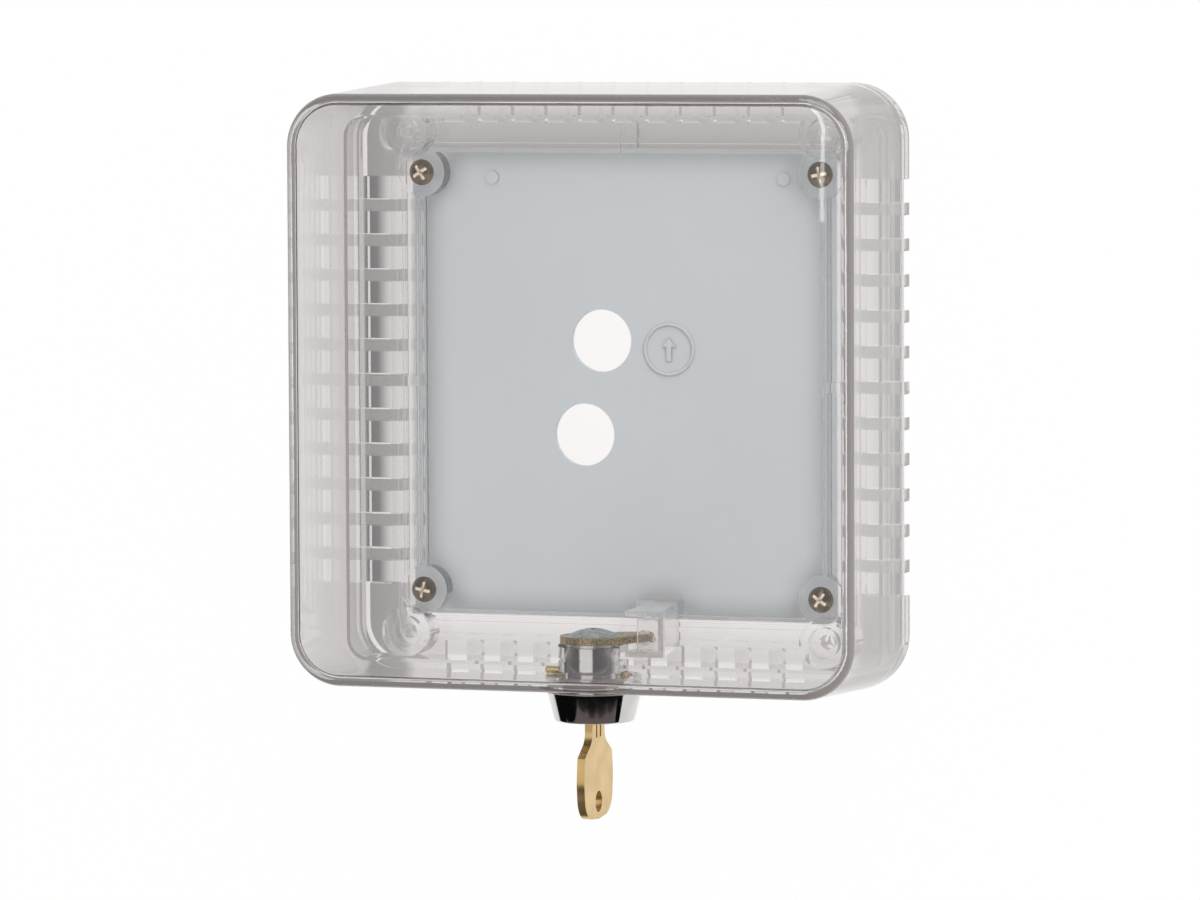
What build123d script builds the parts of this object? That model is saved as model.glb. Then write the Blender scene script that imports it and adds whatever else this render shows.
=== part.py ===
from build123d import *
import math
import os

# A clear box that is screwed over a thermostat and locked with a key from below.
# Millimetres. X is to the right, Z is up, the building's wall is the plane Y = 0 and the front looks to -Y.
# "depth" is the distance in front of the wall, so depth = -Y.

# ---- cover ----
rim_w = 168.0             # outside of the rim, left to right
rim_h = 173.0             # outside of the rim, bottom to top
side_draft = 0.5          # each side wall leans in by this much towards the front
end_draft = 2.5           # and the top and the bottom wall
rim_corner_r = 16.0
front_corner_r = 15.0
air_gap = 5.5             # the rim stands this far off the wall
cover_depth = 52.0        # rim to front
cover_wall = 2.5
front_edge_r = 3.0        # rounding round the front, outside
cavity_edge_r = 0.9       # rounding round the front, inside
seat_gap = 0.3            # between the cover and the ring where they meet

# ---- hooks on the cover's top edge, and the keepers that they swing round ----
hook_len = 12.0
hook_in = 22.0            # from the cover's side to the middle of each hook
hook_t = 2.0              # thickness of the hook's finger
keeper_r = 2.7
hook_root = 3.0           # length of the finger's foot along the cover's top wall
hook_wrap = 75.0          # degrees that the finger reaches round the keeper
hook_side_gap = 0.4

# ---- ring base ----
tooth_pitch = 10.16
tooth_w = 3.5
tooth_deep = 2.6          # part of a tooth that the cover's rim sits on
corner_room = 24.0        # of each side that is left without teeth
deck_back = 3.5
deck_t = 2.0
deck_inset = 3.0          # from the ring's edge to the deck's edge
lip_t = 1.0               # a thin wall that stands forward inside the cover's walls
lip_h = 19.0
lip_side = 4.5            # from the cover's outline to the lip: left and right
lip_over = 9.2            # above, where the hooks swing
lip_under = 6.0           # below
lip_corner_r = 6.5
corner_band = 5.0
support_side = 16.0       # from the ring's side to the wall that carries the deck
support_end = 11.5        # and from its upper and lower end
support_t = 1.7
support_top = 6.3
support_corner_r = 3.0
vent_land = 1.2           # deck between a vent and the lip
vent_start = 2.6          # from the carrying wall's outside to the vents, left and right
vent_start_z = 0.3        # and above and below
ledge_t = 1.4             # second wall above and below the window
ledge_gap = 3.1           # from the window to this wall
window_side = 7.7         # from the carrying wall's outside to the window: left and right
window_end = 8.7          # above and below
beam_w = 1.7              # rim round the opening
beam_h = 7.0
brace_h = 8.0
brace_w = 5.0
side_brace_w = 3.0
brace_x = 3.2             # the upper brace stands a little to the right
boss_in = 5.0             # from the carrying wall's side to a boss for a wall screw
boss_in_z = 2.8
boss_r = 7.2
boss_foot_r = 4.6         # behind the deck, beside the plate
boss_h = 15.0
boss_well_r = 4.5         # the screw's head sinks into this
boss_floor = 11.0
boss_hole_r = 2.2

# ---- screws that hold the plate to the ring, and their lugs ----
screw_in = 0.3            # from the window's edge to a screw
screw_in_z = 5.8
lug_r = 7.0
lug_h = 7.0
screw_len = 6.8
screw_r = 1.6
screw_hole_r = 1.7
screw_head_r = 3.75
screw_head_h = 2.3
recess_arm = 4.6          # length of the cross recess
recess_t = 0.9
recess_deep = 1.1

# ---- wall plate ----
plate_t = 1.8
plate_lap = 3.5           # hidden behind the beam, left and right
plate_lap_z = 1.2         # and above and below
fence_gap = 0.3
fence_t = 1.2             # the fence that keeps the plate in its place
plate_corner_r = 2.0
cable_hole_r = 9.0
cable_hole_1 = (-7.2, 12.2)
cable_hole_2 = (-12.4, -15.0)
dot_r = 1.9
dot_h = 0.3
dot_down = 7.3            # from the window's upper edge
dot_xs = (-40.2, 47.6)

# ---- lock ----
lock_y = -32.0
barrel_r = 10.0
barrel_flats = 18.4
barrel_len = 21.4
barrel_clear = 0.15
pad_r = 13.8              # flat boss in the cover's bottom wall
pad_proud = 0.7           # under the bottom wall
pad_rise = 1.6            # and above it, inside
collar_top_r = 13.5
collar_bottom_r = 11.3
collar_h = 8.3
collar_edge_r = 0.9
head_r = 10.5             # head of the barrel, in the collar's counterbore
head_h = 1.5
groove_r = 8.8
groove_w = 1.2
line_up = 4.4             # from the pad to a turned line round the barrel
line_w = 0.6
line_r = 9.5
clip_t = 1.0
clip_r = 10.3
clip_mouth = 180.0        # degrees, open to the front
clip_ear = 14.2           # a round ear stands out to the left, to grip the clip by
clip_ear_r = 1.1
clip_ear_edge = 0.4
fit = 0.06                # running fit of the plug in the barrel
plug_r = 6.5
plug_head_r = 7.4
plug_head_h = 1.2
channel_r = 7.6           # the wafers' grooves in the barrel
tail_w = 7.0              # square tail that carries the washer and the cam
tail_gap = 0.08
wafer_count = 5
wafer_pitch = 2.5
wafer_t = 1.2
wafer_w = 5.0
wafer_first = 4.2         # from the plug's face to the middle of the first wafer
wafer_gap = 0.06
retainer_end = 3.0        # from the barrel's inner end to the middle of the retainer
retainer_r = 7.0
spring_r = 0.7
spring_bore_r = 0.4
spring_len = 3.0
washer_t = 0.8
washer_r = 8.0
washer_ear = 40.0         # degrees
stop_turn = 90.0          # degrees that the plug can turn
stop_h = 0.7
cam_t = 2.1
cam_disc_r = 9.5
cam_reach = 19.0          # from the lock's axis to the tip of the arm
cam_tip_r = 4.2
cam_angle = 45.0          # of the arm at rest, from +X towards the wall
cam_screw_head_r = 7.4
cam_screw_head_h = 2.1
cam_screw_r = 1.9
cam_screw_len = 4.6

# ---- catch on the ring, for the cam's arm ----
catch_right = 22.8
catch_foot = 17.5         # the side wall leans: its outer face at the deck
catch_t = 1.6
catch_over = 7.9          # the catch reaches this far above the cam
catch_under = 3.1         # and below it
catch_left = 11.5
catch_base = 4.6          # left end of the block over the plate's edge
catch_gap = 0.4           # beside the arm as it rests, and in front of it when it is locked

# ---- key ----
key_t = 2.3
blade_w = 8.2
key_gap = 0.15            # round the blade in the keyway
blade_len = 16.8
neck_w = 10.8
neck_len = 4.9
bow_w = 26.0
bow_len = 22.8
bow_shoulder = 4.3
bow_neck_r = 4.5
bow_shoulder_r = 1.2
bow_side_r = 14.0
bow_foot_r = 7.0
bow_hole_r = 3.0
bow_hole_up = 5.0         # from the bow's end
cut_deep = 1.3
groove_deep = 0.5
groove_across = 1.1

# ---- places that follow from the sizes above ----
rim_plane = air_gap
front_plane = air_gap + cover_depth
front_w = rim_w - 2 * side_draft
front_h = rim_h - 2 * end_draft
hinge_z = rim_h / 2
hook_x = rim_w / 2 - hook_in
side_teeth = int((rim_h - 2 * corner_room) / tooth_pitch) - 1
end_teeth = int((rim_w - 2 * corner_room) / tooth_pitch) - 1
support_w = rim_w - 2 * support_side
support_h = rim_h - 2 * support_end
window_w = support_w - 2 * window_side        # opening that shows the wall plate
window_h = support_h - 2 * window_end
lip_x = rim_w / 2 - lip_side
lip_top = rim_h / 2 - lip_over
lip_bottom = lip_under - rim_h / 2
vent_far = lip_x - lip_t - vent_land
ledge_z = window_h / 2 + ledge_gap
boss_x = support_w / 2 - boss_in
boss_z = support_h / 2 - boss_in_z
screw_x = window_w / 2 - screw_in
screw_z = window_h / 2 - screw_in_z
lock_share = (-lock_y - rim_plane) / cover_depth
floor_z = end_draft * lock_share - rim_h / 2  # under the cover's bottom wall, at the lock
pad_bottom = floor_z - pad_proud
pad_top = floor_z + cover_wall + pad_rise
barrel_top = pad_bottom - collar_h - fit + barrel_len
face_z = pad_bottom - collar_h - fit          # the lock's face, where the key goes in
retainer_at = barrel_len - retainer_end
washer_bottom = barrel_top + tail_gap
cam_bottom = washer_bottom + washer_t
cam_top = cam_bottom + cam_t
catch_top = cam_top + catch_over
catch_bottom = cam_bottom - catch_under
side_span = (side_teeth + 1) * tooth_pitch / 2 - tooth_w / 2     # where the corner blocks begin
end_span = (end_teeth + 1) * tooth_pitch / 2 - tooth_w / 2


def at_depth(depth):
    return Plane.XZ.offset(depth)


def slab(outline, back, front):
    return extrude(at_depth(back) * outline, front - back)


def block(x0, x1, back, front, z0, z1):
    """A box from its limits in X, in depth and in Z."""
    middle = ((x0 + x1) / 2, -(back + front) / 2, (z0 + z1) / 2)
    return Pos(*middle) * Box(x1 - x0, front - back, z1 - z0)


def rod(radius, x, y, z0, z1):
    return Pos(x, y, z0) * Cylinder(radius, z1 - z0, align=(Align.CENTER, Align.CENTER, Align.MIN))


def corners(x, z):
    return [(sx * x, sz * z) for sx in (-1, 1) for sz in (-1, 1)]


def sector(r_in, r_out, start, size):
    """A flat piece of a ring, with its angles in degrees."""
    outer = CenterArc((0, 0), r_out, start, size)
    inner = CenterArc((0, 0), r_in, start, size)
    sides = [Line(inner @ 0, outer @ 0), Line(inner @ 1, outer @ 1)]
    return make_face([outer, inner] + sides)


def cover_outline(depth, inset):
    """The cover's outline at a depth, drawn in by a wall."""
    t = (depth - rim_plane) / cover_depth
    w = rim_w + (front_w - rim_w) * t
    h = rim_h + (front_h - rim_h) * t
    r = rim_corner_r + (front_corner_r - rim_corner_r) * t
    return RectangleRounded(w - 2 * inset, h - 2 * inset, r - inset)


def tapered(back, front, inset):
    return loft([at_depth(d) * cover_outline(d, inset) for d in (back, front)], ruled=True)


def make_hook():
    """A finger that hangs from the cover's top wall and curls back round the keeper."""
    r_in = keeper_r + seat_gap
    finger = sector(r_in, r_in + hook_t, -90, hook_wrap)
    foot_top = -cover_wall + 0.2
    foot = Pos(-hook_root / 2, (foot_top - r_in - hook_t) / 2) * Rectangle(hook_root, foot_top + r_in + hook_t)
    section = Plane.YZ * Pos(-rim_plane, hinge_z) * (finger + foot)
    return extrude(section, hook_len / 2, both=True)


def make_cover():
    shell = tapered(rim_plane, front_plane, 0)
    shell = fillet(shell.edges().group_by(Axis.Y)[0], front_edge_r)
    cavity = tapered(rim_plane - 1, front_plane - cover_wall, cover_wall)
    cavity = fillet(cavity.edges().group_by(Axis.Y)[0], cavity_edge_r)
    shell = shell - cavity + rod(pad_r, 0, lock_y, pad_bottom, pad_top)
    for side in (-1, 1):
        shell += Pos(side * hook_x, 0, 0) * make_hook()
    return shell - barrel_body(barrel_clear, pad_bottom - 1, pad_top + 1)


def sketch_rect(x0, x1, z0, z1):
    return Pos((x0 + x1) / 2, (z0 + z1) / 2) * Rectangle(x1 - x0, z1 - z0)


def mirrored(x0, x1, z0, z1):
    """The same rectangle on the left and on the right."""
    return [sketch_rect(x0, x1, z0, z1), sketch_rect(-x1, -x0, z0, z1)]


def upended(x0, x1, z0, z1):
    """The same rectangle above and below."""
    return [sketch_rect(x0, x1, z0, z1), sketch_rect(x0, x1, -z1, -z0)]


def bar_sketch():
    """The bars between the vents, out to the teeth under the cover's rim."""
    bars = []
    for n in range(side_teeth):
        z = (n - (side_teeth - 1) / 2) * tooth_pitch
        bars += mirrored(support_w / 2 - support_t, rim_w / 2, z - tooth_w / 2, z + tooth_w / 2)
    for n in range(end_teeth):
        x = (n - (end_teeth - 1) / 2) * tooth_pitch
        bars += upended(x - tooth_w / 2, x + tooth_w / 2, support_h / 2 - support_t, rim_h / 2)
    return Sketch() + bars


def corner_sketch():
    band = RectangleRounded(rim_w, rim_h, rim_corner_r) - cover_outline(rim_plane, corner_band)
    squares = Sketch() + [sketch_rect(*sorted((sx * end_span, sx * rim_w)), *sorted((sz * side_span, sz * rim_h)))
                          for sx in (-1, 1) for sz in (-1, 1)]
    return band & squares


def vent_sketch():
    free = (tooth_pitch - tooth_w) / 2
    near_x = support_w / 2 + vent_start
    near_z = support_h / 2 + vent_start_z
    vents = []
    for n in range(side_teeth + 1):
        z = (n - side_teeth / 2) * tooth_pitch
        vents += mirrored(near_x, vent_far, z - free, z + free)
    for n in range(end_teeth + 1):
        x = (n - end_teeth / 2) * tooth_pitch
        vents += [sketch_rect(x - free, x + free, near_z, lip_top - lip_t),
                  sketch_rect(x - free, x + free, lip_bottom + lip_t, -near_z)]
    return Sketch() + vents


def lip_outline(inset):
    middle = (lip_top + lip_bottom) / 2
    height = lip_top - lip_bottom
    return Pos(0, middle) * RectangleRounded(2 * (lip_x - inset), height - 2 * inset, lip_corner_r - inset)


def frame_sketch(w, h, t, r):
    return RectangleRounded(w, h, r) - RectangleRounded(w - 2 * t, h - 2 * t, r - t)


def make_catch(ring):
    """A clear hook that stands forward beside the lock: the cam's arm turns in behind its front wall."""
    arm_front = -lock_y + cam_tip_r + catch_gap        # depth of the arm's face when it is locked
    arm_right = (cam_reach - cam_tip_r) * math.cos(math.radians(cam_angle)) + cam_tip_r
    lip_left = arm_right + catch_gap
    front = arm_front + catch_t
    side_line = [(catch_foot, plate_t), (catch_foot, beam_h), (catch_right, front)]
    inner_line = [(x - catch_t, d) for x, d in reversed(side_line)]
    side = make_face(Polyline(*side_line, *inner_line, close=True))
    flange = make_face(Polyline(*side_line, (catch_left, front), (catch_left, beam_h), (catch_base, beam_h),
                                (catch_base, plate_t), close=True))
    lip = sketch_rect(lip_left, catch_right, arm_front, front)
    deck_front = deck_back + deck_t
    over_deck = block(0, 2 * catch_right, deck_front, 2 * front, catch_bottom, catch_top)
    over_plate = block(0, 2 * catch_right, plate_t, 2 * front, -window_h / 2, catch_top)
    catch = block(catch_base, catch_foot, plate_t, beam_h, -window_h / 2 - beam_w, catch_top)
    layers = [(side, catch_bottom, catch_top), (lip, catch_bottom, catch_top),
              (flange, catch_top - catch_t, catch_top), (flange, catch_bottom, catch_bottom + catch_t)]
    for outline, z0, z1 in layers:
        catch += stand(outline, z0, z1)
    return (catch & (over_deck + over_plate)) - ring


def stand(plan, z0, z1):
    """Raise an outline that is drawn in X and depth from one height to another."""
    return Pos(0, 0, z1) * Rot(180, 0, 0) * extrude(plan, z1 - z0)


def make_keepers():
    """The bars behind which the cover's hooks catch."""
    half = hook_len / 2 + hook_side_gap + 0.5
    quarter = Circle(keeper_r) & Pos(keeper_r / 2 + seat_gap, -keeper_r / 2) * Rectangle(keeper_r, keeper_r)
    bar = extrude(Plane.YZ * Pos(-rim_plane, hinge_z) * quarter, half, both=True)
    return [Pos(side * hook_x, 0, 0) * bar for side in (-1, 1)]


def make_ring():
    window = RectangleRounded(window_w, window_h, plate_corner_r)
    beam = RectangleRounded(window_w + 2 * beam_w, window_h + 2 * beam_w, plate_corner_r + beam_w)
    deck_edge = cover_outline(rim_plane, deck_inset)
    seat = rim_plane - seat_gap
    teeth = bar_sketch() + corner_sketch()
    fence_w = window_w + 2 * (plate_lap + fence_gap + fence_t)
    fence_h = window_h + 2 * (plate_lap_z + fence_gap + fence_t)
    ring = slab(teeth, 0, deck_back)
    ring += slab(teeth - cover_outline(rim_plane, tooth_deep), 0, seat)
    ring += slab(deck_edge - window, deck_back, deck_back + deck_t)
    ring += slab(lip_outline(0) - lip_outline(lip_t), deck_back, lip_h)
    ring += slab(frame_sketch(support_w, support_h, support_t, support_corner_r), 0, support_top)
    ring += slab(frame_sketch(fence_w, fence_h, fence_t, plate_corner_r + fence_t), 0, deck_back)
    ring += slab(beam - window, plate_t, beam_h)
    ledges = Sketch() + upended(-screw_x, screw_x, ledge_z, ledge_z + ledge_t)
    braces = Sketch() + mirrored(window_w / 2, vent_far, -side_brace_w / 2, side_brace_w / 2)
    braces += sketch_rect(brace_x - brace_w / 2, brace_x + brace_w / 2, window_h / 2, support_h / 2)
    ring += slab(ledges, deck_back, beam_h) + slab(braces, deck_back, brace_h)
    lugs = Sketch() + [Pos(x, z) * Circle(lug_r) for x, z in corners(screw_x, screw_z)]
    bosses = Sketch() + [Pos(x, z) * Circle(boss_r) for x, z in corners(boss_x, boss_z)]
    feet = Sketch() + [Pos(x, z) * Circle(boss_foot_r) for x, z in corners(boss_x, boss_z)]
    ring += slab(lugs, plate_t, lug_h) + slab(bosses & lip_outline(0), deck_back, boss_h) + slab(feet, 0, boss_floor)
    screw_holes = Sketch() + [Pos(x, z) * Circle(screw_hole_r) for x, z in corners(screw_x, screw_z)]
    boss_holes = Sketch() + [Pos(x, z) * Circle(boss_hole_r) for x, z in corners(boss_x, boss_z)]
    wells = Sketch() + [Pos(x, z) * Circle(boss_well_r) for x, z in corners(boss_x, boss_z)]
    ring -= slab(vent_sketch(), deck_back - 1, deck_back + deck_t + 0.1)
    ring -= slab(screw_holes, -1, lug_h + 1) + slab(boss_holes, -1, boss_h + 1) + slab(wells, boss_floor, boss_h + 1)
    half = hook_len / 2 + hook_side_gap
    reach = keeper_r + seat_gap + hook_t + seat_gap
    for side in (-1, 1):
        ring -= block(side * hook_x - half, side * hook_x + half, -1, 2 * lip_h, hinge_z - reach, hinge_z + 1)
    for keeper in make_keepers():
        ring += keeper
    return ring


def make_plate():
    outline = RectangleRounded(window_w + 2 * plate_lap, window_h + 2 * plate_lap_z, plate_corner_r)
    plate = slab(outline, 0, plate_t)
    for x in dot_xs:
        plate += slab(Pos(x, window_h / 2 - dot_down) * Circle(dot_r), plate_t, plate_t + dot_h)
    for x, z in (cable_hole_1, cable_hole_2):
        plate -= slab(Pos(x, z) * Circle(cable_hole_r), -1, plate_t + 1)
    for x, z in corners(screw_x, screw_z):
        plate -= slab(Pos(x, z) * Circle(screw_hole_r), -1, plate_t + 1)
    return plate


def make_base_screw():
    """A pan-head screw along its own +Z, with the seat of its head at zero."""
    sphere_r = (screw_head_r ** 2 + screw_head_h ** 2) / (2 * screw_head_h)
    head = Pos(0, 0, screw_head_h - sphere_r) * Sphere(sphere_r)
    head &= Cylinder(screw_head_r, screw_head_h, align=(Align.CENTER, Align.CENTER, Align.MIN))
    for turn in (0, 90):
        head -= Rot(0, 0, turn) * Pos(0, 0, screw_head_h) * Box(recess_arm, recess_t, 2 * recess_deep)
    return head + Pos(0, 0, -screw_len) * Cylinder(screw_r, screw_len, align=(Align.CENTER, Align.CENTER, Align.MIN))


def make_base_screws():
    screw = Rot(90, 0, 0) * make_base_screw()
    turns = (12, 58, 35, 80)
    return [Pos(x, -lug_h, z) * Rot(0, turn, 0) * screw for (x, z), turn in zip(corners(screw_x, screw_z), turns)]


def barrel_body(clearance, z0, z1):
    """The barrel's round body with its two flats, or the hole that it passes through."""
    body = rod(barrel_r + clearance, 0, lock_y, z0, z1)
    flats = barrel_flats + 2 * clearance
    return body & Pos(0, lock_y, (z0 + z1) / 2) * Box(flats, 3 * barrel_r, z1 - z0)


def make_housing():
    housing = barrel_body(0, face_z, barrel_top) + rod(head_r, 0, lock_y, face_z, face_z + head_h)
    for low, width, radius in ((pad_top, groove_w, groove_r), (pad_top + line_up, line_w, line_r)):
        housing -= rod(barrel_r + 1, 0, lock_y, low, low + width) - rod(radius, 0, lock_y, low, low + width)
    housing -= rod(plug_r + fit, 0, lock_y, face_z - 1, barrel_top + 1)
    housing -= rod(plug_head_r + fit, 0, lock_y, face_z - 1, face_z + plug_head_h + fit)
    retainer_z = face_z + retainer_at
    groove_half = wafer_t / 2 + 0.15
    channel = rod(channel_r, 0, lock_y, face_z + plug_head_h + 0.6, retainer_z - groove_half)
    housing -= channel & Pos(0, lock_y, face_z + barrel_len / 2) * Box(wafer_w + 0.4, 3 * barrel_r, barrel_len)
    housing -= rod(retainer_r + 0.15, 0, lock_y, retainer_z - groove_half, retainer_z + groove_half)
    stop_free = stop_turn + washer_ear + 2
    nub = Plane.XY.offset(barrel_top) * Pos(0, lock_y) * sector(
        washer_r + 0.2, barrel_r + 1, 270 + stop_free / 2, 360 - stop_free)
    housing += extrude(nub, stop_h) & barrel_body(0, barrel_top - 1, barrel_top + stop_h)
    return housing


def make_collar():
    profile = Polyline((barrel_r + 0.1, pad_bottom), (collar_top_r, pad_bottom), (collar_bottom_r, pad_bottom - collar_h),
                       (head_r + 0.1, pad_bottom - collar_h), (head_r + 0.1, face_z + head_h),
                       (barrel_r + 0.1, face_z + head_h), close=True)
    ring = revolve(Plane.XZ * make_face(profile), Axis.Z)
    rims = [e for e in ring.edges() if e.geom_type == GeomType.CIRCLE and e.radius > head_r + 0.3]
    ring = fillet([e for e in rims if e.center().Z < pad_bottom - collar_h + 0.1], collar_edge_r - 0.2)
    return Pos(0, lock_y, 0) * ring


def make_clip():
    """A spring clip of brass, pushed into the barrel's groove from the back, with a round ear at its left end."""
    ring = sector(groove_r + 0.05, clip_r, 270 + clip_mouth / 2, 360 - clip_mouth)
    ear_in = barrel_flats / 2 + barrel_clear
    ear = Cylinder(clip_ear_r, clip_ear - ear_in)
    ear = fillet(ear.edges().group_by(Axis.Z)[-1], clip_ear_edge)
    ear = Pos(-(ear_in + clip_ear) / 2, lock_y, pad_top + clip_ear_r + 0.05) * Rot(0, -90, 0) * ear
    return extrude(Plane.XY.offset(pad_top) * Pos(0, lock_y) * ring, clip_t) + ear


def wafer_z(n):
    return face_z + wafer_first + n * wafer_pitch


def wafer_space(z, gap):
    return Pos(0, lock_y, z) * Box(wafer_w + 2 * gap, 3 * plug_r, wafer_t + 2 * gap)


def spring_place(n):
    return Pos(wafer_w / 2 + spring_r + 0.25, lock_y, wafer_z(n)) * Rot(90, 0, 0)


def make_plug():
    plug = rod(plug_r, 0, lock_y, face_z, barrel_top - 0.5) + rod(plug_head_r, 0, lock_y, face_z, face_z + plug_head_h)
    tail_top = cam_top - 0.1
    plug += Pos(0, lock_y, (barrel_top - 0.6 + tail_top) / 2) * Box(tail_w, tail_w, tail_top - barrel_top + 0.6)
    keyway_len = blade_len + 0.5
    plug -= Pos(0, lock_y, face_z + keyway_len / 2 - 0.5) * Box(key_t + 2 * key_gap, blade_w + 2 * key_gap, keyway_len + 1)
    for n in range(wafer_count):
        plug -= wafer_space(wafer_z(n), wafer_gap)
        plug -= spring_place(n) * Cylinder(spring_r + 0.05, spring_len + 0.1)
    plug -= wafer_space(face_z + retainer_at, wafer_gap)
    plug -= rod(cam_screw_r + 0.05, 0, lock_y, cam_top - cam_screw_len, cam_top + 1)
    return plug


def make_wafer(z, reach):
    """A plate with a window that the blade passes through."""
    wafer = (Pos(0, lock_y, z) * Box(wafer_w, 3 * plug_r, wafer_t)) & rod(reach, 0, lock_y, z - wafer_t, z + wafer_t)
    return wafer - Pos(0, lock_y, z) * Box(key_t + 0.5, blade_w + 0.6, 2 * wafer_t)


def make_springs():
    tube = Cylinder(spring_r, spring_len) - Cylinder(spring_bore_r, spring_len + 1)
    return [spring_place(n) * tube for n in range(wafer_count)]


def square_hole(z):
    return Pos(0, lock_y, z) * Box(tail_w + 2 * tail_gap, tail_w + 2 * tail_gap, 4 * cam_t)


def make_washer():
    flat = Circle(washer_r) + sector(1, washer_r + 1.2, 270 - washer_ear / 2, washer_ear)
    washer = extrude(Plane.XY.offset(washer_bottom) * Pos(0, lock_y) * flat, washer_t)
    return washer - square_hole(washer_bottom)


def make_cam():
    """A round plate with one arm, narrowing to a round tip."""
    tip = Pos(cam_reach - cam_tip_r, 0) * Circle(cam_tip_r)
    disc = Circle(cam_disc_r)
    flat = make_hull(disc.edges() + tip.edges())
    cam = extrude(Plane.XY.offset(cam_bottom) * Pos(0, lock_y) * Rot(0, 0, cam_angle) * flat, cam_t)
    return cam - square_hole(cam_bottom)


def make_cam_screw():
    sphere_r = (cam_screw_head_r ** 2 + cam_screw_head_h ** 2) / (2 * cam_screw_head_h)
    head = rod(cam_screw_head_r, 0, lock_y, cam_top, cam_top + cam_screw_head_h)
    head &= Pos(0, lock_y, cam_top + cam_screw_head_h - sphere_r) * Sphere(sphere_r)
    for turn in (20, 110):
        head -= Pos(0, lock_y, cam_top + cam_screw_head_h) * Rot(0, 0, turn) * Box(recess_arm, recess_t, 2 * recess_deep)
    return head + rod(cam_screw_r, 0, lock_y, cam_top - cam_screw_len + 0.3, cam_top)


def same_place(vertex, place):
    return abs(vertex.X - place[0]) < 0.01 and abs(vertex.Y - place[1]) < 0.01


def make_key():
    """Drawn flat with its shoulder at zero and the bow below, then stood in the keyway."""
    half = [(neck_w / 2, 0), (neck_w / 2, -neck_len), (bow_w / 2 - 0.8, -neck_len - bow_shoulder),
            (bow_w / 2, -neck_len - bow_len / 2), (bow_w / 2 - 1.2, -neck_len - bow_len + 1.0),
            (0, -neck_len - bow_len)]
    outline = Polyline(*half, *[(-y, z) for y, z in reversed(half[:-1])], close=True)
    flat = make_face(outline)
    low = [v for v in flat.vertices() if v.Y < -neck_len - bow_len + 2 and abs(v.X) > 1]
    neck, shoulder, side = [[(sign * y, z) for sign in (-1, 1)] for y, z in half[1:4]]
    flat = fillet(low, bow_foot_r)
    for places, radius in ((neck, bow_neck_r), (shoulder, bow_shoulder_r), (side, bow_side_r)):
        flat = fillet([v for v in flat.vertices() if any(same_place(v, p) for p in places)], radius)
    flat -= Pos(0, -neck_len - bow_len + bow_hole_up) * Circle(bow_hole_r)
    tip = Polyline((-blade_w / 2, -1), (blade_w / 2, -1), (blade_w / 2, blade_len - 2.2), (1.2, blade_len),
                   (-blade_w / 2 + 1.5, blade_len), (-blade_w / 2, blade_len - 1.5), close=True)
    flat += make_face(tip)
    for n in range(wafer_count):
        cut = Pos(-blade_w / 2, wafer_first + n * wafer_pitch) * Rot(0, 0, 45) * Rectangle(
            cut_deep * (1 + 0.25 * (n % 3)), cut_deep * (1 + 0.25 * (n % 3)))
        flat -= cut
    body = extrude(Plane.YZ * flat, key_t / 2, both=True)
    for y in (-1.7, 1.7):
        body -= Pos(key_t / 2, y, (blade_len - neck_len) / 2 + 0.6) * Box(2 * groove_deep, groove_across, blade_len + neck_len)
    body -= Pos(-key_t / 2, 0, (blade_len - neck_len) / 2 + 0.6) * Box(2 * groove_deep, 1.5 * groove_across, blade_len + neck_len)
    return Pos(0, lock_y, face_z - 0.4) * body


def save(name, shape):
    whole = Compound(children=list(shape)) if isinstance(shape, list) else shape
    export_step(whole, f"parts/{name}.step")


os.makedirs("parts", exist_ok=True)
ring_base = make_ring()
save("ring_base", ring_base)
save("cam_catch", make_catch(ring_base))
save("wall_plate", make_plate())
save("base_screws", make_base_screws())
save("cover_shell", make_cover())
save("lock_housing", make_housing())
save("lock_collar", make_collar())
save("retaining_clip", make_clip())
save("lock_plug", make_plug())
for number in range(wafer_count):
    save(f"wafer_{number + 1}", make_wafer(wafer_z(number), plug_r))
save("retainer_wafer", make_wafer(face_z + retainer_at, retainer_r))
save("wafer_springs", make_springs())
save("stop_washer", make_washer())
save("cam", make_cam())
save("cam_screw", make_cam_screw())
save("key", make_key())
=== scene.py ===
import bpy
import math
from mathutils import Vector, Matrix


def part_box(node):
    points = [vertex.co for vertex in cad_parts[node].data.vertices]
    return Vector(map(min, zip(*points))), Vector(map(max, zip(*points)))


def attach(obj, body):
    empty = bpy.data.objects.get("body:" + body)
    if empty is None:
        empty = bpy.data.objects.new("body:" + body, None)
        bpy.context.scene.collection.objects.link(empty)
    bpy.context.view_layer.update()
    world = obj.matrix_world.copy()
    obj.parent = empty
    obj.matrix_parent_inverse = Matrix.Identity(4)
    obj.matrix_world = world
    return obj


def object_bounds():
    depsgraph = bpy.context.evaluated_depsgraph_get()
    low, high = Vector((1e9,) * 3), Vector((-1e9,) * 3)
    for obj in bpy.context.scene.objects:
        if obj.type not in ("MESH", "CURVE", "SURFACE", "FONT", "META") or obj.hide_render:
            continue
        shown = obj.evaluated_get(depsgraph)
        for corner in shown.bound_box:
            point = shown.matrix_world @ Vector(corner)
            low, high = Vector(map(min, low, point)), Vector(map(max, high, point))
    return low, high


# A clear lock box over a room thermostat: shop photograph on white, seen a little from the right and above.

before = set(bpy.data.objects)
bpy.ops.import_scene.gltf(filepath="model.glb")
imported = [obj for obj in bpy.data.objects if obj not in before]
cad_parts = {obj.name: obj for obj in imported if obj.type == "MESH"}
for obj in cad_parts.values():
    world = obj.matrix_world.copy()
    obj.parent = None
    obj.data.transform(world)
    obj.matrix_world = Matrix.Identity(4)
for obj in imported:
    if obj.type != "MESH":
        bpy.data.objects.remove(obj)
cadBox = [list(corner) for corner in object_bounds()]
print("frame loaded:", len(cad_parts), "nodes")

scene = bpy.context.scene
scene.view_settings.view_transform = "Standard"

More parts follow.
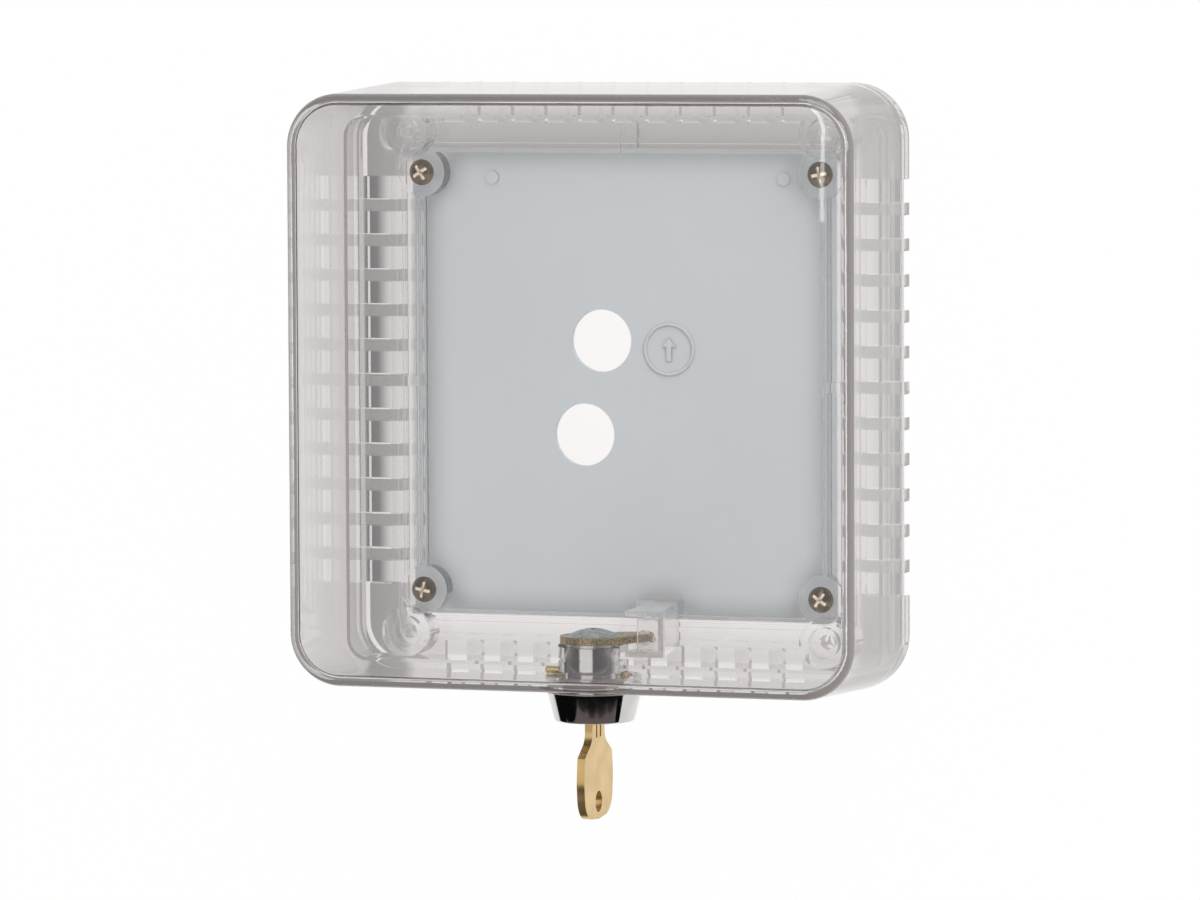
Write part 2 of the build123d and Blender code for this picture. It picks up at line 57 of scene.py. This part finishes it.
noiseMiddle = (0.3, 0.7)     # most of a noise lies between these values
mixShare, mixLow, mixHigh, mixResult = 0, 6, 7, 2     # a mix node's sockets for colours


def newMaterial(name):
    material = bpy.data.materials.new(name)
    material.use_nodes = True
    return material, material.node_tree.nodes, material.node_tree.links


def placeParts(owner, kind="Object"):
    # X, Y and Z of a place: in a piece's own metres, so that a pattern stays with it, or of a direction
    nodes, links = owner.node_tree.nodes, owner.node_tree.links
    place = nodes.new("ShaderNodeTexCoord")
    split = nodes.new("ShaderNodeSeparateXYZ")
    links.new(place.outputs[kind], split.inputs["Vector"])
    return split.outputs


def noiseFrom(material, scale, detail=3.0):
    # also in the piece's own metres
    nodes, links = material.node_tree.nodes, material.node_tree.links
    place = nodes.new("ShaderNodeTexCoord")
    noise = nodes.new("ShaderNodeTexNoise")
    noise.inputs["Scale"].default_value = scale
    noise.inputs["Detail"].default_value = detail
    links.new(place.outputs["Object"], noise.inputs["Vector"])
    return noise.outputs["Fac"]


def rangeFrom(owner, source, fromRange, toRange=(0.0, 1.0)):
    nodes, links = owner.node_tree.nodes, owner.node_tree.links
    ramp = nodes.new("ShaderNodeMapRange")
    ramp.inputs["From Min"].default_value, ramp.inputs["From Max"].default_value = fromRange
    ramp.inputs["To Min"].default_value, ramp.inputs["To Max"].default_value = toRange
    links.new(source, ramp.inputs["Value"])
    return ramp.outputs["Result"]


def coloursFrom(material, source, low, high):
    # from one colour to another, by a noise
    nodes, links = material.node_tree.nodes, material.node_tree.links
    ramp = nodes.new("ShaderNodeValToRGB")
    for step, place, colour in zip(ramp.color_ramp.elements, noiseMiddle, (low, high)):
        step.position = place
        step.color = (*colour, 1)
    links.new(source, ramp.inputs["Fac"])
    return ramp.outputs["Color"]


def greysFrom(owner, source, shades, warm=(1, 1, 1)):
    # grey levels at places from 0 to 1
    nodes, links = owner.node_tree.nodes, owner.node_tree.links
    ramp = nodes.new("ShaderNodeValToRGB")
    steps = ramp.color_ramp.elements
    while len(steps) > 1:
        steps.remove(steps[-1])
    for number, (place, grey) in enumerate(shades):
        step = steps[0] if number == 0 else steps.new(place)
        step.position = place
        step.color = (grey * warm[0], grey * warm[1], grey * warm[2], 1)
    links.new(source, ramp.inputs["Fac"])
    return ramp.outputs["Color"]


def addBump(material, source, strength, distance):
    nodes, links = material.node_tree.nodes, material.node_tree.links
    bump = nodes.new("ShaderNodeBump")
    bump.inputs["Strength"].default_value = strength
    bump.inputs["Distance"].default_value = distance
    links.new(source, bump.inputs["Height"])
    links.new(bump.outputs["Normal"], nodes["Principled BSDF"].inputs["Normal"])


def mathNode(owner, operation, first, second=0.0):
    # each value is a number or another node's output
    nodes, links = owner.node_tree.nodes, owner.node_tree.links
    total = nodes.new("ShaderNodeMath")
    total.operation = operation
    for number, value in enumerate((first, second)):
        if isinstance(value, (int, float)):
            total.inputs[number].default_value = value
        else:
            links.new(value, total.inputs[number])
    return total.outputs["Value"]


def vectorNode(owner, operation, first, second):
    nodes, links = owner.node_tree.nodes, owner.node_tree.links
    both = nodes.new("ShaderNodeVectorMath")
    both.operation = operation
    links.new(first, both.inputs[0])
    links.new(second, both.inputs[1])
    return both.outputs["Vector"]


def mixColours(owner, share, low, high):
    # each colour is three numbers or another node's output
    nodes, links = owner.node_tree.nodes, owner.node_tree.links
    mix = nodes.new("ShaderNodeMix")
    mix.data_type = "RGBA"
    links.new(share, mix.inputs[mixShare])
    for place, colour in ((mixLow, low), (mixHigh, high)):
        if isinstance(colour, tuple):
            mix.inputs[place].default_value = (*colour, 1)
        else:
            links.new(colour, mix.inputs[place])
    return mix.outputs[mixResult]


def mixShaders(owner, share, low, high):
    nodes, links = owner.node_tree.nodes, owner.node_tree.links
    mix = nodes.new("ShaderNodeMixShader")
    links.new(share, mix.inputs["Fac"])
    links.new(low, mix.inputs[1])
    links.new(high, mix.inputs[2])
    return mix.outputs["Shader"]


clearPlastic = {
    "tint": ((0.925, 0.912, 0.910), (0.950, 0.942, 0.940)),
    "roughness": (0.0, 0.02),
    "ior": 1.5,
    "cloud": 18.0,
    "seeThroughShade": (0.95, 0.948, 0.946),   # how much light the walls let through to what is inside
    "flow": 0.10,
    "flowScale": 14.0,
    "flowDetail": 2.0,
    "flowHeight": 0.0006,
    "lostAfter": {"Ray Depth": 8.5, "Glossy Depth": 2.5},   # past these, the light inside the plastic is cut off, and a painted grey glow stands in for it
    "paintedGlow": (0.31, 0.285, 0.278),
}
texturedPlastic = dict(clearPlastic, flowScale=1400.0, paintedGlow=(0.60, 0.58, 0.57))
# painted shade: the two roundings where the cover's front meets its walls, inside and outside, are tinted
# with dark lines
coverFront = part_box("cover_shell")[0][1]
coverPlastic = dict(clearPlastic, roundings=[
    {"front": coverFront + 0.0025, "deep": 0.0009, "side": 0.0813, "end": 0.0819,
     "tint": (0.07, 0.065, 0.08)},
    {"front": coverFront + 0.0002, "deep": 0.0021, "side": 1.0, "end": 1.0,
     "tint": (0.56, 0.545, 0.54)},
])
justBehind = 0.00002             # keeps the flat face out of the painted shade
rightFade = (0.0700, 0.0805)     # the painted dark lines fade out round the right corners, so the right edge stays pale


# painted shade: a dark tint mixed into the plastic's colour in a thin layer behind the cover's front
def paintedShadeRounding(material, tint, rounding):
    x, y, z = placeParts(material)
    behind = mathNode(material, "GREATER_THAN", y, rounding["front"] + justBehind)
    before = mathNode(material, "LESS_THAN", y, rounding["front"] + rounding["deep"])
    across = mathNode(material, "LESS_THAN", mathNode(material, "ABSOLUTE", x), rounding["side"])
    upward = mathNode(material, "LESS_THAN", mathNode(material, "ABSOLUTE", z), rounding["end"])
    share = rangeFrom(material, x, rightFade, (1.0, 0.0))
    for part in (behind, before, across, upward):
        share = mathNode(material, "MULTIPLY", share, part)
    return mixColours(material, share, tint, rounding["tint"])


def makeClear(name, look):
    material, nodes, links = newMaterial(name)
    skin = nodes["Principled BSDF"]
    skin.inputs["Transmission Weight"].default_value = 1.0
    skin.inputs["IOR"].default_value = look["ior"]
    cloud = noiseFrom(material, look["cloud"])
    tint = coloursFrom(material, cloud, *look["tint"])
    # painted shade along the cover's roundings
    for rounding in look.get("roundings", []):
        tint = paintedShadeRounding(material, tint, rounding)
    links.new(tint, skin.inputs["Base Color"])
    links.new(rangeFrom(material, cloud, noiseMiddle, look["roughness"]), skin.inputs["Roughness"])
    flow = noiseFrom(material, look["flowScale"], look["flowDetail"])
    addBump(material, flow, look["flow"], look["flowHeight"])
    path = nodes.new("ShaderNodeLightPath")
    # painted light: past the limits, the plastic glows a flat grey in place of the light it cuts off
    paintedGlow = nodes.new("ShaderNodeEmission")
    paintedGlow.inputs["Color"].default_value = (*look["paintedGlow"], 1)
    limits = [mathNode(material, "GREATER_THAN", path.outputs[count], limit)
              for count, limit in look["lostAfter"].items()]
    ended = mathNode(material, "MAXIMUM", *limits)
    seen = mixShaders(material, ended, skin.outputs["BSDF"], paintedGlow.outputs["Emission"])
    # light passes through the walls without casting a hard shadow
    through = nodes.new("ShaderNodeBsdfTransparent")
    through.inputs["Color"].default_value = (*look["seeThroughShade"], 1)
    passing = mathNode(material, "MAXIMUM", path.outputs["Is Shadow Ray"], path.outputs["Is Diffuse Ray"])
    whole = mixShaders(material, passing, seen, through.outputs["BSDF"])
    links.new(whole, nodes["Material Output"].inputs["Surface"])
    return material


platePlastic = {"colour": ((0.495, 0.532, 0.560), (0.530, 0.568, 0.597)), "roughness": (0.42, 0.5),
                "ior": 1.5, "cloud": 9.0, "grain": 900.0, "bump": 0.12,
                "shadeReach": 0.007, "shades": ((0.0, 1.0), (0.2, 1.0), (0.38, 0.55), (0.95, 1.0))}
shadeSamples = 6
grainHeight = 0.0001


def makeSatin(name, look):
    material, nodes, links = newMaterial(name)
    skin = nodes["Principled BSDF"]
    skin.inputs["IOR"].default_value = look["ior"]
    cloud = noiseFrom(material, look["cloud"])
    # painted shade: darker where the ring and its lugs stand close over the plate
    near = nodes.new("ShaderNodeAmbientOcclusion")
    near.samples = shadeSamples
    near.inputs["Distance"].default_value = look["shadeReach"]
    paintedPlateShade = greysFrom(material, near.outputs["AO"], look["shades"])
    colour = vectorNode(material, "MULTIPLY", coloursFrom(material, cloud, *look["colour"]), paintedPlateShade)
    links.new(colour, skin.inputs["Base Color"])
    links.new(rangeFrom(material, cloud, noiseMiddle, look["roughness"]), skin.inputs["Roughness"])
    addBump(material, noiseFrom(material, look["grain"]), look["bump"], grainHeight)
    return material


metals = {
    "yellowZinc": {"colour": ((0.10, 0.065, 0.02), (0.52, 0.41, 0.18)), "roughness": (0.16, 0.4),
                   "cloud": 2200.0, "grain": 2600.0, "bump": 0.8},
    # the screws' heads get a painted highlight in their cross
    "screwZinc": {"colour": ((0.17, 0.125, 0.065), (0.27, 0.205, 0.115)), "roughness": (0.08, 0.16),
                  "cloud": 300.0, "grain": 1500.0, "bump": 0.1,
                  "recess": (0.95, 0.86, 0.68), "recessReach": 0.0008, "recessRange": (0.75, 0.95)},
    "lockChrome": {"colour": ((0.62, 0.61, 0.61), (0.72, 0.71, 0.70)), "roughness": (0.03, 0.10),
                   "cloud": 120.0, "grain": 700.0, "bump": 0.03},
    "clipBrass": {"colour": ((0.60, 0.47, 0.22), (0.72, 0.58, 0.30)), "roughness": (0.2, 0.35),
                  "cloud": 200.0, "grain": 900.0, "bump": 0.1},
    "turnedBrass": {"colour": ((0.66, 0.52, 0.26), (0.74, 0.60, 0.34)), "roughness": (0.15, 0.3),
                    "cloud": 200.0, "grain": 900.0, "bump": 0.1},
    "paleZinc": {"colour": ((0.24, 0.27, 0.27), (0.46, 0.49, 0.49)), "roughness": (0.12, 0.28),
                 "cloud": 700.0, "grain": 900.0, "bump": 0.4},
    "plainSteel": {"colour": ((0.50, 0.50, 0.50), (0.66, 0.66, 0.65)), "roughness": (0.18, 0.32),
                   "cloud": 250.0, "grain": 1200.0, "bump": 0.1},
    "keyBrass": {"colour": ((0.58, 0.395, 0.145), (0.80, 0.60, 0.29)), "roughness": (0.2, 0.38),
                 "cloud": 160.0, "grain": 1100.0, "bump": 0.1},
}
metalDetail = {"cloud": 4.0, "grain": 2.0}


def makeMetal(name, look):
    material, nodes, links = newMaterial(name)
    skin = nodes["Principled BSDF"]
    skin.inputs["Metallic"].default_value = 1.0
    cloud = noiseFrom(material, look["cloud"], metalDetail["cloud"])
    colour = coloursFrom(material, cloud, *look["colour"])
    if "recess" in look:
        # painted highlight: the cross in the head is painted bright, as a glint
        near = nodes.new("ShaderNodeAmbientOcclusion")
        near.samples = shadeSamples
        near.only_local = True
        near.inputs["Distance"].default_value = look["recessReach"]
        outside = rangeFrom(material, near.outputs["AO"], look["recessRange"])
        colour = mixColours(material, outside, look["recess"], colour)
    links.new(colour, skin.inputs["Base Color"])
    links.new(rangeFrom(material, cloud, noiseMiddle, look["roughness"]), skin.inputs["Roughness"])
    addBump(material, noiseFrom(material, look["grain"], metalDetail["grain"]), look["bump"], grainHeight)
    return material


finishes = {
    "clear": makeClear("clearPlastic", clearPlastic),
    "textured": makeClear("texturedPlastic", texturedPlastic),
    "cover": makeClear("coverPlastic", coverPlastic),
    "plate": makeSatin("platePlastic", platePlastic),
}
for metalName, metalLook in metals.items():
    finishes[metalName] = makeMetal(metalName, metalLook)

nodeFinish = {
    "ring_base": "clear", "cam_catch": "textured", "cover_shell": "cover", "wall_plate": "plate",
    "base_screws": "screwZinc", "lock_housing": "lockChrome", "lock_collar": "lockChrome",
    "retaining_clip": "clipBrass", "lock_plug": "turnedBrass", "retainer_wafer": "turnedBrass",
    "wafer_springs": "plainSteel", "stop_washer": "plainSteel", "cam": "yellowZinc", "cam_screw": "paleZinc",
    "key": "keyBrass",
}
waferCount = 5
for number in range(1, waferCount + 1):
    nodeFinish[f"wafer_{number}"] = "turnedBrass"

for nodeName, finish in nodeFinish.items():
    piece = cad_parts[nodeName]
    piece.data.materials.clear()
    piece.data.materials.append(finishes[finish])
print("finishes on", len(nodeFinish), "pieces")

# raised mark on the wall plate: a ring with an arrow that shows which way is up; the arrow's parts go by
# its length, the stem and the ring's crest by the width of a line
upMark = {"place": (0.0132, 0.0099), "radius": 0.0072, "line": 0.00045, "height": 0.0004, "crest": 0.6,
          "arrow": 0.0066, "stem": 1.6, "barbs": 0.12, "barbSide": 0.32, "sunk": 0.00003}
dotHeight = 0.0003       # of the plate's two dots, which stand in front of its face
ringSteps = 64


def addRaised(name, points, faces, body, finish):
    mesh = bpy.data.meshes.new(name)
    mesh.from_pydata(points, [], faces)
    mesh.update()
    piece = bpy.data.objects.new(name, mesh)
    scene.collection.objects.link(piece)
    piece.data.materials.append(finishes[finish])
    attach(piece, body)
    return piece


def flatRaised(name, outline, base, height, body, finish):
    # a flat outline in X and Z, raised from the plate towards the front
    count = len(outline)
    points = [(x, base, z) for x, z in outline] + [(x, base - height, z) for x, z in outline]
    faces = [tuple(range(count, 2 * count))]
    faces += [(n, (n + 1) % count, count + (n + 1) % count, count + n) for n in range(count)]
    return addRaised(name, points, faces, body, finish)


def ringRaised(name, look, base, body, finish):
    cx, cz = look["place"]
    radius, line, crest = look["radius"], look["line"], look["line"] * look["crest"]
    top = base - look["height"]
    profile = ((radius - line, base), (radius - crest, top), (radius + crest, top), (radius + line, base))
    points, faces = [], []
    for n in range(ringSteps):
        turn = 2 * math.pi * n / ringSteps
        points += [(cx + r * math.cos(turn), y, cz + r * math.sin(turn)) for r, y in profile]
    sides = len(profile)
    for n in range(ringSteps):
        here, ahead = sides * n, sides * ((n + 1) % ringSteps)
        faces += [(here + k, ahead + k, ahead + k + 1, here + k + 1) for k in range(sides - 1)]
    piece = addRaised(name, points, faces, body, finish)
    for face in piece.data.polygons:
        face.use_smooth = True
    return piece


def addUpMark(look):
    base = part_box("wall_plate")[0][1] + dotHeight + look["sunk"]
    ringRaised("plate_mark_ring", look, base, "base", "plate")
    cx, cz = look["place"]
    long, stem = look["arrow"], look["line"] * look["stem"]
    barbs, side = cz + long * look["barbs"], long * look["barbSide"]
    arrow = [(cx - stem, cz - long / 2), (cx + stem, cz - long / 2), (cx + stem, barbs), (cx + side, barbs),
             (cx, cz + long / 2), (cx - side, barbs), (cx - stem, barbs)]
    flatRaised("plate_mark_arrow", arrow, base, look["height"], "base", "plate")


addUpMark(upMark)
print("plate mark on")

world = bpy.data.worlds.new("studio")
scene.world = world
world.use_nodes = True

# compass angle in degrees and grey level, where 0 is straight in front of the box: dark curtains stand on
# both sides of a bright front panel, and behind the box all is bright
studioRoom = ((-180, 1.0), (-112, 0.96), (-98, 0.30), (-30, 0.10), (-25, 1.0), (13, 1.0), (18, 0.07),
              (78, 0.16), (92, 0.92), (180, 1.0))
# the same round for what is seen through the plastic
throughRoom = ((-180, 1.0), (-112, 0.85), (-98, 0.06), (-32, 0.01), (-24, 1.0), (12, 1.0), (18, 0.02),
               (78, 0.08), (92, 0.60), (180, 1.0))
warmGrey = (1.0, 0.985, 0.98)
worldLight = {"colour": (1.0, 0.995, 0.99), "strength": 0.62}


def makeWorld():
    nodes, links = world.node_tree.nodes, world.node_tree.links
    nodes.clear()
    out = nodes.new("ShaderNodeOutputWorld")
    path = nodes.new("ShaderNodeLightPath")
    white = nodes.new("ShaderNodeBackground")
    white.inputs["Color"].default_value = (1, 1, 1, 1)
    white.inputs["Strength"].default_value = 1.0
    room = nodes.new("ShaderNodeBackground")          # what the plastic and the metal see
    light = nodes.new("ShaderNodeBackground")         # what lights the pieces
    light.inputs["Color"].default_value = (*worldLight["colour"], 1)
    light.inputs["Strength"].default_value = worldLight["strength"]
    x, y, _ = placeParts(world, "Generated")
    angle = mathNode(world, "ARCTAN2", x, mathNode(world, "MULTIPLY", y, -1.0))
    share = rangeFrom(world, angle, (-math.pi, math.pi))
    rooms = [greysFrom(world, share, [(degrees / 360 + 0.5, grey) for degrees, grey in levels], warmGrey)
             for levels in (studioRoom, throughRoom)]
    links.new(mixColours(world, path.outputs["Is Transmission Ray"], *rooms), room.inputs["Color"])
    seen = mathNode(world, "MAXIMUM", path.outputs["Is Glossy Ray"], path.outputs["Is Transmission Ray"])
    lit = mixShaders(world, seen, light.outputs["Background"], room.outputs["Background"])
    whole = mixShaders(world, path.outputs["Is Camera Ray"], lit, white.outputs["Background"])
    links.new(whole, out.inputs["Surface"])


makeWorld()

softboxes = {
    "overhead": {"place": (0.25, -0.55, 1.35), "aim": (0, 0, 0), "size": (1.1, 0.9), "power": 13.0},
    "rightBox": {"place": (1.25, -0.75, 0.55), "aim": (0, 0, 0), "size": (0.5, 1.0), "power": 9.0},
    "leftBox": {"place": (-1.3, -0.9, 0.35), "aim": (0, 0, 0), "size": (0.45, 1.0), "power": 5.0},
}
lampColour = (1.0, 0.993, 0.985)


def addSoftbox(name, look):
    lamp = bpy.data.lights.new(name, "AREA")
    lamp.shape = "RECTANGLE"
    lamp.size, lamp.size_y = look["size"]
    lamp.energy = look["power"]
    lamp.color = lampColour
    holder = bpy.data.objects.new(name, lamp)
    scene.collection.objects.link(holder)
    holder.visible_transmission = False
    holder.location = look["place"]
    holder.rotation_euler = (Vector(look["aim"]) - Vector(look["place"])).to_track_quat("-Z", "Y").to_euler()


for boxName, boxLook in softboxes.items():
    addSoftbox(boxName, boxLook)

floorHalf, floorLevel = 2.2, -0.60
wallHalf, wallPlace = 0.55, 0.0006
square = ((-1, -1), (1, -1), (1, 1), (-1, 1))
backdrops = {
    "floor": {
        "corners": [(x * floorHalf, y * floorHalf, floorLevel) for x, y in square],
        "keepsLight": True, "colour": (0.85, 0.85, 0.85), "direct": 0.88, "through": 0.62,
    },
    # the wall that the box is screwed to; its painted shade, by the distance across and by the height, shows
    # through the plastic
    "wall": {
        "corners": [(x * wallHalf, wallPlace, z * wallHalf) for x, z in square],
        "keepsLight": False, "colour": (0.84, 0.835, 0.83), "direct": 0.97,
        "ventShades": ((0.058, 1.0), (0.064, 0.80), (0.070, 0.68), (0.0735, 0.56), (0.0765, 0.18),
                       (0.0800, 0.14), (0.0812, 0.72), (0.086, 0.70), (0.100, 0.80), (0.150, 0.92)),
        "barShades": ((0.058, 1.0), (0.064, 0.80), (0.0685, 0.36), (0.0802, 0.30), (0.0812, 0.72),
                      (0.086, 0.70), (0.100, 0.80), (0.150, 0.92)),
        "upShades": ((-0.100, 0.90), (-0.086, 0.78), (-0.078, 0.66), (-0.070, 0.84), (-0.064, 0.95),
                     (-0.060, 1.0), (0.060, 1.0), (0.066, 0.32), (0.0715, 0.44), (0.0765, 0.50),
                     (0.079, 0.66), (0.086, 0.76), (0.110, 0.88)),
    },
}
ventPitch, barHalf, ventEnd = 0.01016, 0.00175, 0.0592      # of the ring's side vents
shadeSide = 0.0815       # half the width of the shade by the height
shadeReach = 0.2         # the ramps end this far from the middle
backdropRoughness = 0.9


def wallShade(material, look):
    # painted shade: the darker of two greys, by the distance to the middle line and by the height, in metres
    x, _, z = placeParts(material)
    side = mathNode(material, "ABSOLUTE", x)
    across = mathNode(material, "DIVIDE", side, shadeReach)
    upward = mathNode(material, "ADD", mathNode(material, "MULTIPLY", z, 0.5 / shadeReach), 0.5)
    greys = {}
    ramps = {"ventShades": (across, shadeReach, 0), "barShades": (across, shadeReach, 0),
             "upShades": (upward, 2 * shadeReach, 0.5)}
    for name, (share, reach, middle) in ramps.items():
        shades = [(place / reach + middle, grey) for place, grey in look[name]]
        greys[name] = greysFrom(material, share, shades, warmGrey)
    # the ring's bars stand between its vents, at every pitch from the middle, and its corners have none
    bar = mathNode(material, "LESS_THAN", mathNode(material, "PINGPONG", z, ventPitch / 2), barHalf)
    corner = mathNode(material, "GREATER_THAN", mathNode(material, "ABSOLUTE", z), ventEnd)
    bar = mathNode(material, "MAXIMUM", bar, corner)
    sides = mixColours(material, bar, greys["ventShades"], greys["barShades"])
    within = mathNode(material, "LESS_THAN", side, shadeSide)
    ends = mixColours(material, within, (1, 1, 1), greys["upShades"])
    return vectorNode(material, "MINIMUM", sides, ends)


def addBackdrop(name, look):
    mesh = bpy.data.meshes.new(name)
    mesh.from_pydata(look["corners"], [], [(0, 1, 2, 3)])
    plane = bpy.data.objects.new(name, mesh)
    scene.collection.objects.link(plane)
    material, nodes, links = newMaterial(name + "Finish")
    skin = nodes["Principled BSDF"]
    skin.inputs["Roughness"].default_value = backdropRoughness
    skin.inputs["Specular IOR Level"].default_value = 0.0
    skin.inputs["Base Color"].default_value = (*look["colour"], 1)
    path = nodes.new("ShaderNodeLightPath")
    white = nodes.new("ShaderNodeEmission")
    white.inputs["Color"].default_value = (1, 1, 1, 1)
    seen = mathNode(material, "MULTIPLY", path.outputs["Is Camera Ray"], look["direct"])
    near = mixShaders(material, seen, skin.outputs["BSDF"], white.outputs["Emission"])
    shade = nodes.new("ShaderNodeEmission")
    if "through" in look:
        shade.inputs["Color"].default_value = (*(look["through"] * part for part in warmGrey), 1)
    else:
        links.new(wallShade(material, look), shade.inputs["Color"])
    mix = mixShaders(material, path.outputs["Is Transmission Ray"], near, shade.outputs["Emission"])
    # from behind, a backdrop isn't there, and the metal pieces don't mirror it; light that passes the
    # plastic counts as glossy too
    side = nodes.new("ShaderNodeNewGeometry")
    clear = nodes.new("ShaderNodeBsdfTransparent")
    passed = path.outputs["Is Transmission Ray"]
    mirror = mathNode(material, "GREATER_THAN", path.outputs["Is Glossy Ray"], passed)
    unseen = mathNode(material, "MAXIMUM", side.outputs["Backfacing"], mirror)
    whole = mixShaders(material, unseen, mix, clear.outputs["BSDF"])
    links.new(whole, nodes["Material Output"].inputs["Surface"])
    plane.data.materials.append(material)
    plane.visible_shadow = plane.visible_diffuse = look["keepsLight"]


for planeName, planeLook in backdrops.items():
    addBackdrop(planeName, planeLook)

view = {"place": (0.6055, -1.8538, 0.1218), "yaw": 18.33, "pitch": 4.14, "roll": -0.24, "lens": 203.58,
        "sensor": 36.0, "near": 0.01, "far": 50.0}


def addCamera(look):
    data = bpy.data.cameras.new("camera")
    data.sensor_width = look["sensor"]
    data.lens = look["lens"]
    data.clip_start, data.clip_end = look["near"], look["far"]
    camera = bpy.data.objects.new("camera", data)
    scene.collection.objects.link(camera)
    yaw = Matrix.Rotation(math.radians(look["yaw"]), 4, "Z")
    turn = yaw @ Matrix.Rotation(math.radians(90 - look["pitch"]), 4, "X")
    roll = Matrix.Rotation(math.radians(look["roll"]), 4, "Z")
    camera.matrix_world = Matrix.Translation(look["place"]) @ turn @ roll
    scene.camera = camera


addCamera(view)

# a narrow lit strip that glints on the front panel, bent at its upper end
glint = {"across": 0.0760, "half": 0.0006, "top": 0.0830, "bend": 0.0760, "bottom": 0.0500, "away": -1.5,
         "topShift": 0.0042, "bendShift": 0.0012, "bendRise": 0.0035, "strength": 9.0}


def mirrored(x, z):
    # where a card stands that the camera sees mirrored at this place of the front panel
    panel = cadBox[0][1]
    share = (panel - glint["away"]) / (panel - view["place"][1])
    return (x + share * (x - view["place"][0]), glint["away"], z + share * (z - view["place"][2]))


bent = [(glint["across"] - glint["topShift"], glint["top"]),
        (glint["across"] - glint["bendShift"], glint["bend"] + glint["bendRise"]),
        (glint["across"], glint["bend"]),
        (glint["across"], glint["bottom"])]
leftEdge = [mirrored(x - glint["half"], z) for x, z in bent]
rightEdge = [mirrored(x + glint["half"], z) for x, z in reversed(bent)]

clothLevel, trayLevel = -0.585, -0.16
clothOutline = ((-2.4, -2.4), (1.6, -2.4), (1.6, 0.1), (0, 0.1), (-2.4, 0.45))
trayOutline = ((-0.133, -0.076), (-0.056, -0.138), (-0.006, -0.142), (0.0445, -0.130), (0.089, -0.102),
               (0.125, -0.057), (0.118, -0.050), (0.02, -0.022), (-0.02, -0.022))
# cards that only the shiny pieces see
cards = {
    # nearly black cloth over the floor
    "frontCloth": {"outline": [(x, y, clothLevel) for x, y in clothOutline],
                   "colour": (1, 1, 1), "strength": 0.004},
    # grey tray under the lock, mirrored in the lower half of its collar
    "greyTray": {"outline": [(x, y, trayLevel) for x, y in trayOutline],
                 "colour": (1.0, 0.85, 0.83), "strength": 0.155},
    "glintStrip": {"outline": leftEdge + rightEdge, "colour": (1, 1, 1), "strength": glint["strength"]},
}


def addCard(name, look):
    mesh = bpy.data.meshes.new(name)
    mesh.from_pydata(look["outline"], [], [tuple(range(len(look["outline"])))])
    card = bpy.data.objects.new(name, mesh)
    scene.collection.objects.link(card)
    material, nodes, _ = newMaterial(name + "Finish")
    skin = nodes["Principled BSDF"]
    skin.inputs["Base Color"].default_value = (0, 0, 0, 1)
    skin.inputs["Specular IOR Level"].default_value = 0.0
    skin.inputs["Roughness"].default_value = 1.0
    skin.inputs["Emission Color"].default_value = (*look["colour"], 1)
    skin.inputs["Emission Strength"].default_value = look["strength"]
    card.data.materials.append(material)
    card.visible_camera = False
    card.visible_transmission = False
    card.visible_diffuse = False
    card.visible_shadow = False


for cardName, cardLook in cards.items():
    addCard(cardName, cardLook)
print("studio ready")
